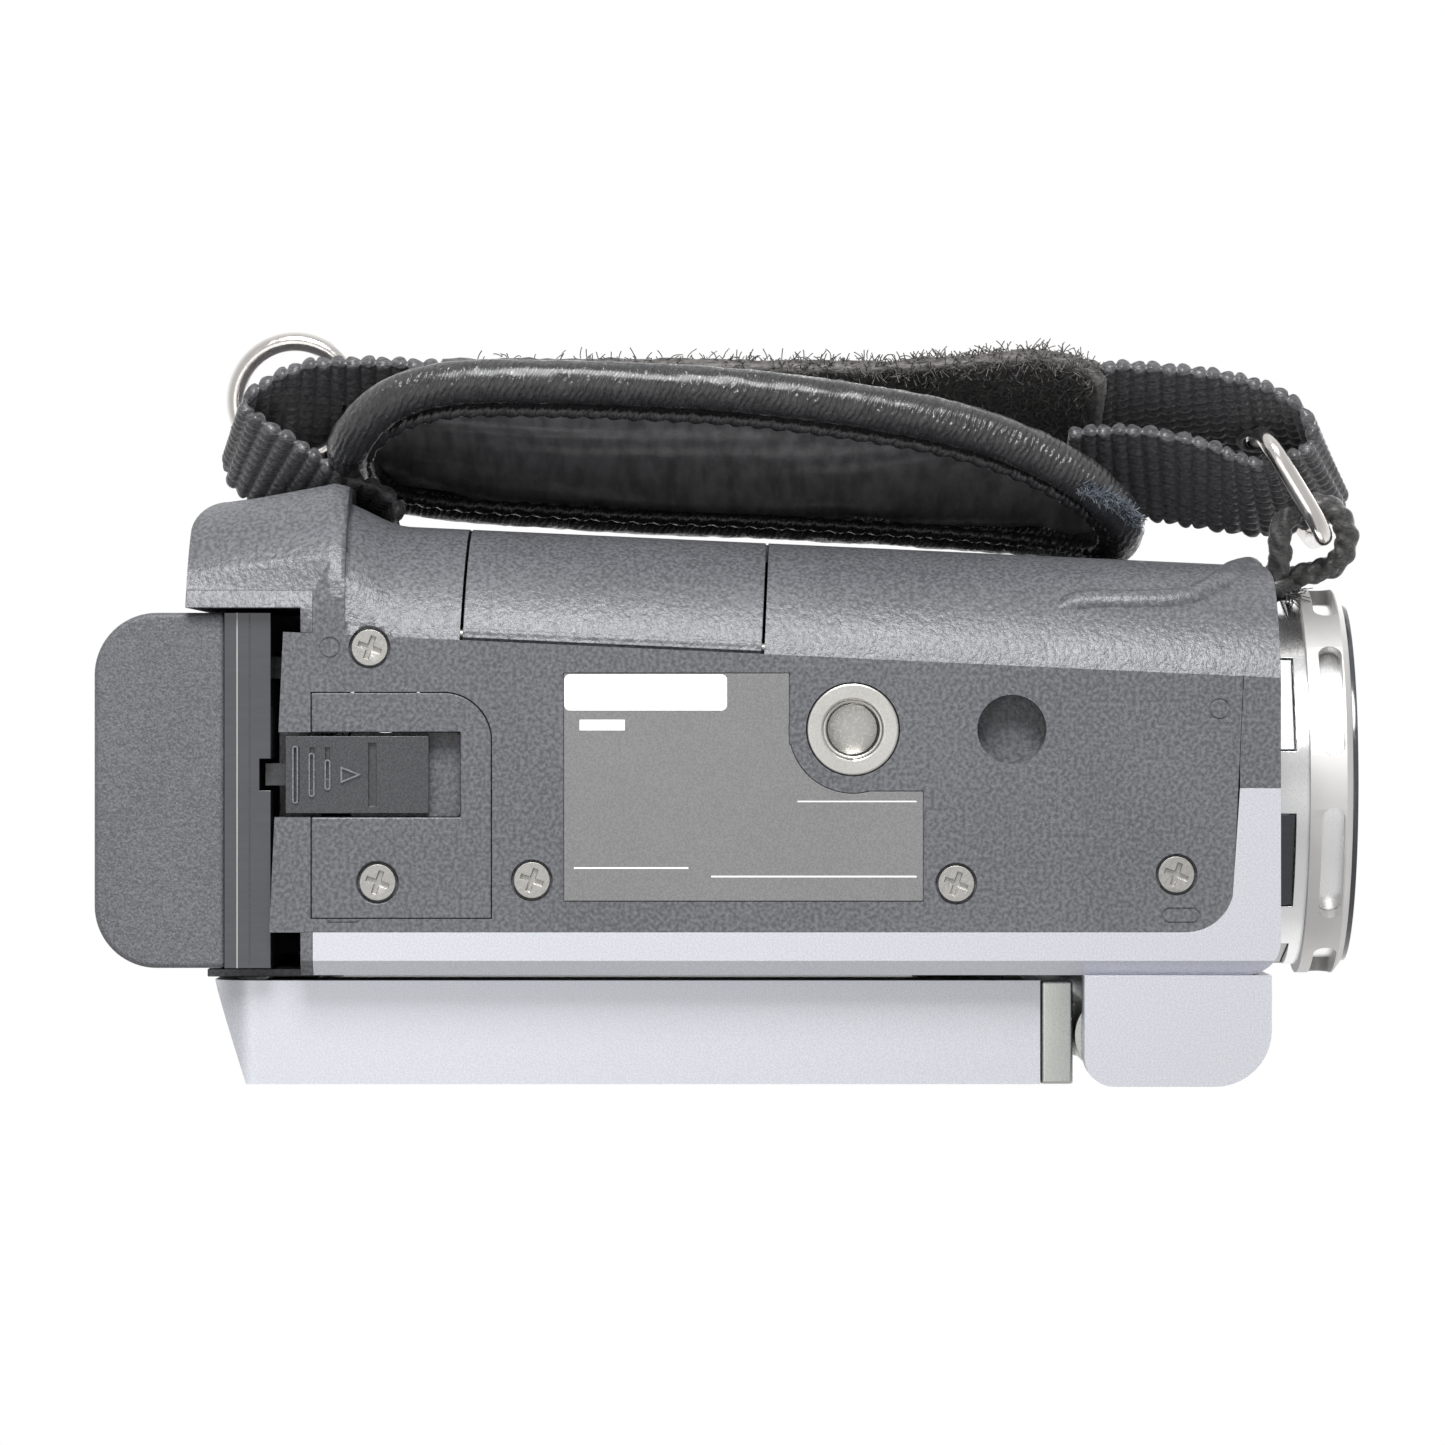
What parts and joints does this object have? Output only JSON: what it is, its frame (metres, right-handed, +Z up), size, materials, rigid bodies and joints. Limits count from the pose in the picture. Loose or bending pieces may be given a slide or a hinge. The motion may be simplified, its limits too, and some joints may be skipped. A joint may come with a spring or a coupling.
{
  "type": "camcorder",
  "caption": "Palm-sized camcorder with a folded swing-out display, rear battery, slotted lens ring, padded hand strap and tripod socket.",
  "frame": {"origin": "centre of the tripod socket's mouth, in the plane of the flat base", "axes": "+Z up out of the base into the body, -Y the way the lens looks, +X the display side, -X the grip side"},
  "size_m": [0.0685, 0.1129, 0.0613],
  "materials": {
    "dark_plastic": "fine moulded texture",
    "silver_plastic": "satin metallic paint on plastic",
    "gloss_black": "gloss",
    "black_plastic": "matt",
    "zinc": "turned",
    "steel": "satin",
    "nickel": "polished, lightly worn",
    "lens_metal": "fine blasted",
    "end_cap_metal": "satin",
    "button_metal": "satin",
    "glass": "coated",
    "screen_glass": "gloss",
    "circuit_board": "solder resist",
    "lamp": "clear",
    "label": "smooth film",
    "leather": "soft grain",
    "webbing": "woven nylon",
    "hook_fabric": "fuzzy loops",
    "cells": "sleeved",
    "gold": "plated"
  },
  "bodies": {
    "camera": {"base_cover": "dark_plastic", "base_corner_plate": "dark_plastic", "grip_shell": "dark_plastic", "display_side_shell": "silver_plastic", "top_cover": "silver_plastic", "front_bezel": "dark_plastic", "rear_panel": "dark_plastic", "chassis_frame": "steel", "main_board": "circuit_board", "tripod_socket": "zinc", "base_screws": "steel", "rating_label": "label", "jack_hinge_pin": "steel", "jack_sockets": "black_plastic", "lens_tube": "black_plastic", "lens_collar": "lens_metal", "collar_windows": "gloss_black", "lens_ring": "lens_metal", "ring_liner": "lens_metal", "front_rim": "gloss_black", "front_element": "glass", "guide_rods": "steel", "sensor_board": "circuit_board", "image_sensor": "screen_glass", "terminal_block": "black_plastic", "hinge_pins": "steel", "status_lamps": "lamp", "speaker": "black_plastic", "microphones": "end_cap_metal", "memory_card": "black_plastic", "strap_pad": "leather", "strap_rear_webbing": "webbing", "strap_front_webbing": "webbing", "strap_hook_strip": "hook_fabric", "strap_anchor_bar": "steel", "cord_loop": "webbing"},
    "display": {"lcd_outer_shell": "silver_plastic", "lcd_inner_bezel": "dark_plastic", "lcd_screen": "screen_glass", "lcd_module": "end_cap_metal", "lcd_end_cap": "end_cap_metal", "lcd_hinge_bracket": "end_cap_metal"},
    "battery": {"battery_case": "dark_plastic", "battery_base": "gloss_black", "battery_cells": "cells", "battery_contacts": "gold"},
    "release_lever": {"release_lever": "black_plastic"},
    "jack_cover": {"jack_cover": "dark_plastic"},
    "zoom_lever": {"zoom_lever": "silver_plastic"},
    "photo_button": {"photo_button": "button_metal"},
    "start_stop_button": {"start_stop_button": "button_metal"},
    "lens_cover_switch": {"lens_cover_switch": "button_metal"},
    "upper_blade": {"upper_blade": "black_plastic"},
    "lower_blade": {"lower_blade": "black_plastic"},
    "power_button": {"power_button": "button_metal"},
    "view_button": {"view_button": "button_metal"},
    "rear_ring": {"rear_ring": "nickel"},
    "front_link": {"front_link": "nickel"},
    "zoom_lens": {"zoom_lens": "glass"},
    "focus_lens": {"focus_lens": "glass"}
  },
  "joints": [
    {"name": "display_swing", "type": "hinge", "parent": "camera", "child": "display", "pos_m": [0.0272, -0.0236, 0.03], "axis": [0, 0, -1], "range_deg": [0, 90]},
    {"name": "battery_slide", "type": "slide", "parent": "camera", "child": "battery", "axis": [0, 0, -1], "range_m": [0, 0.05]},
    {"name": "release_lever_slide", "type": "slide", "parent": "camera", "child": "release_lever", "axis": [0, -1, 0], "range_m": [0, 0.0023], "stiffness_N_per_m": 200},
    {"name": "jack_cover_hinge", "type": "hinge", "parent": "camera", "child": "jack_cover", "pos_m": [-0.00681, 0.00044, 0.00115], "axis": [0.0461, -0.9989, 0], "range_deg": [0, 60]},
    {"name": "zoom_lever_turn", "type": "hinge", "parent": "camera", "child": "zoom_lever", "pos_m": [-0.003, 0.031, 0.058], "axis": [0, 0, 1], "range_deg": [-15, 15], "stiffness_Nm_per_rad": 0.02},
    {"name": "photo_button_press", "type": "slide", "parent": "camera", "child": "photo_button", "axis": [0, 0, -1], "range_m": [0, 0.0006], "stiffness_N_per_m": 200},
    {"name": "start_stop_press", "type": "slide", "parent": "camera", "child": "start_stop_button", "axis": [0, -1, 0], "range_m": [0, 0.0006], "stiffness_N_per_m": 200},
    {"name": "lens_cover_slide", "type": "slide", "parent": "camera", "child": "lens_cover_switch", "axis": [0, 0, 1], "range_m": [0, 0.006]},
    {"name": "upper_blade_slide", "type": "slide", "parent": "camera", "child": "upper_blade", "axis": [0, 0, 1], "range_m": [0, 0.006]},
    {"name": "lower_blade_slide", "type": "slide", "parent": "camera", "child": "lower_blade", "axis": [0, 0, -1], "range_m": [0, 0.006]},
    {"name": "power_button_press", "type": "slide", "parent": "camera", "child": "power_button", "axis": [-1, 0, 0], "range_m": [0, 0.0004], "stiffness_N_per_m": 200},
    {"name": "view_button_press", "type": "slide", "parent": "camera", "child": "view_button", "axis": [-1, 0, 0], "range_m": [0, 0.0004], "stiffness_N_per_m": 200},
    {"name": "rear_ring_swing", "type": "hinge", "parent": "camera", "child": "rear_ring", "pos_m": [-0.0302, 0.0508, 0.026], "axis": [0, 1, 0], "range_deg": [-10, 10]},
    {"name": "front_link_swing", "type": "hinge", "parent": "camera", "child": "front_link", "pos_m": [-0.0268, -0.0377, 0.026], "axis": [0, 0, 1], "range_deg": [0, 10]},
    {"name": "zoom_lens_slide", "type": "slide", "parent": "camera", "child": "zoom_lens", "axis": [0, 1, 0], "range_m": [0, 0.008]},
    {"name": "focus_lens_slide", "type": "slide", "parent": "camera", "child": "focus_lens", "axis": [0, 1, 0], "range_m": [0, 0.005]}
  ],
  "couplings": [
    {"joint": "upper_blade_slide", "follows": "lens_cover_slide", "ratio": 1},
    {"joint": "lower_blade_slide", "follows": "lens_cover_slide", "ratio": 1}
  ]
}
